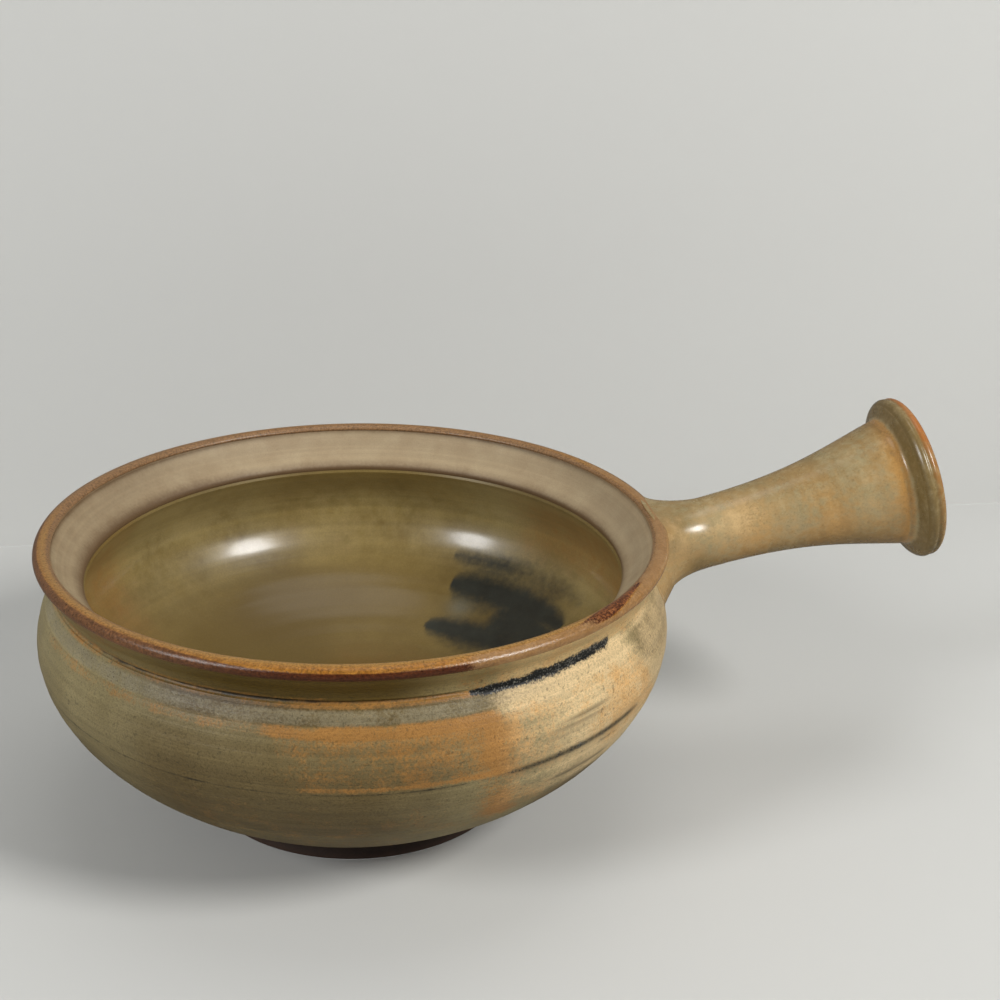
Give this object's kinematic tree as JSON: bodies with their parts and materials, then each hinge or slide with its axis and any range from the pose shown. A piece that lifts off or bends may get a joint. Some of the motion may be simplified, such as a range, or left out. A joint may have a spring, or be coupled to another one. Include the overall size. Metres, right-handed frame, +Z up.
{
  "type": "lug soup bowl",
  "caption": "Round stoneware soup bowl with a collared lip, a turned foot ring and a hollow flared handle.",
  "frame": {"origin": "centre of the foot ring's resting face, on the bowl's axis", "axes": "+Z up along the bowl's axis; +X towards the handle; +Y to the left of the handle"},
  "size_m": [0.1922, 0.1314, 0.0826],
  "materials": {
    "bare_clay": "dry, unglazed stoneware with fine speckle",
    "foot_clay": "dry, dark, unglazed stoneware",
    "joint_glaze": "satin glaze pooled greenish in the joint",
    "rust_glaze": "glossy iron glaze, ochre on top and red-brown at the edge",
    "olive_glaze": "glossy dark olive glaze",
    "sage_glaze": "satin speckled glaze, sage to ochre, with dark brush strokes",
    "brown_glaze": "glossy olive-brown lining with one dark brush mark",
    "ochre_glaze": "glossy mottled ochre and olive glaze"
  },
  "bodies": {
    "root": {"bowl_body": "bare_clay", "foot_ring": "foot_clay", "handle": "bare_clay", "luting_coil": "joint_glaze", "lip_band": "rust_glaze", "glaze_collar": "olive_glaze", "glaze_outside": "sage_glaze", "glaze_inside": "brown_glaze", "glaze_handle": "ochre_glaze"}
  },
  "joints": []
}
